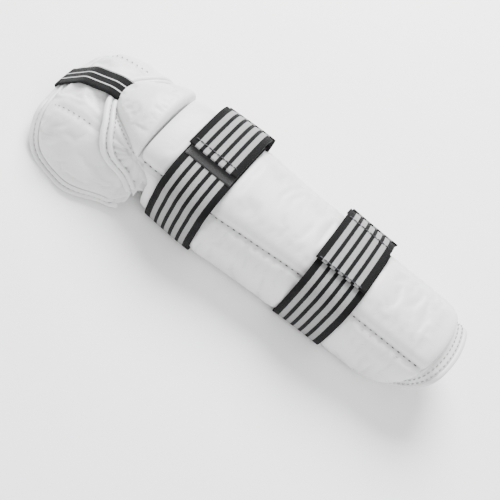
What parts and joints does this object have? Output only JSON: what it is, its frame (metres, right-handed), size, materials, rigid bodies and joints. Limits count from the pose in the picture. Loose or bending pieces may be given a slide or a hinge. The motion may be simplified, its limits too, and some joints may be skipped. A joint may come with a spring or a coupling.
{
  "type": "forearm and elbow guard",
  "caption": "Padded forearm guard: half sleeve with striped elastic straps, a hinged elbow cup and a round elbow flap.",
  "frame": {"origin": "centre of the bounding box in X and Y, on the ground the straps rest on", "axes": "+X along the arm towards the wrist, +Z out of the padded face, Y across the arm"},
  "size_m": [0.344, 0.1264, 0.0712],
  "materials": {
    "white_vinyl": "satin",
    "lining_cloth": "matte",
    "foam": "matte",
    "striped_elastic": "matte",
    "hook_and_loop": "matte",
    "dark_thread": "matte",
    "white_thread": "matte"
  },
  "bodies": {
    "sleeve": {"lining": "lining_cloth", "near_foam": "foam", "centre_foam": "foam", "far_foam": "foam", "forearm_cover": "white_vinyl", "forearm_binding": "white_vinyl", "seam_thread": "dark_thread", "wrist_thread": "white_thread", "upper_strap": "striped_elastic", "upper_loop_patch": "hook_and_loop", "wrist_strap": "striped_elastic", "wrist_loop_patch": "hook_and_loop"},
    "elbow_cup": {"cup_base": "lining_cloth", "cup_foam": "foam", "cup_cover": "white_vinyl", "cup_binding": "white_vinyl", "cup_thread": "white_thread", "elbow_strap_root": "striped_elastic"},
    "elbow_flap": {"flap_backing": "lining_cloth", "flap_foam": "foam", "flap_cover": "white_vinyl", "flap_binding": "white_vinyl", "flap_thread": "dark_thread", "elbow_strap": "striped_elastic"},
    "upper_tab": {"upper_tab": "striped_elastic", "upper_hook_patch": "hook_and_loop", "upper_tab_thread": "dark_thread"},
    "wrist_tab": {"wrist_tab": "striped_elastic", "wrist_hook_patch": "hook_and_loop", "wrist_tab_thread": "dark_thread"}
  },
  "joints": [
    {"name": "elbow_crease", "type": "hinge", "parent": "sleeve", "child": "elbow_cup", "pos_m": [-0.083, 0, 0.01], "axis": [0, -1, 0], "range_deg": [0, 15], "stiffness_Nm_per_rad": 0.6},
    {"name": "flap_crease", "type": "hinge", "parent": "elbow_cup", "child": "elbow_flap", "pos_m": [-0.083, 0, 0.01], "axis": [0, -1, 0], "range_deg": [0, 20], "stiffness_Nm_per_rad": 0.6},
    {"name": "upper_tab_peel", "type": "hinge", "parent": "sleeve", "child": "upper_tab", "pos_m": [-0.041, 0.04312, 0.0573], "axis": [-1, 0, 0], "range_deg": [0, 70]},
    {"name": "wrist_tab_peel", "type": "hinge", "parent": "sleeve", "child": "wrist_tab", "pos_m": [0.073, 0.03446, 0.0616], "axis": [-1, 0, 0], "range_deg": [0, 70]}
  ]
}
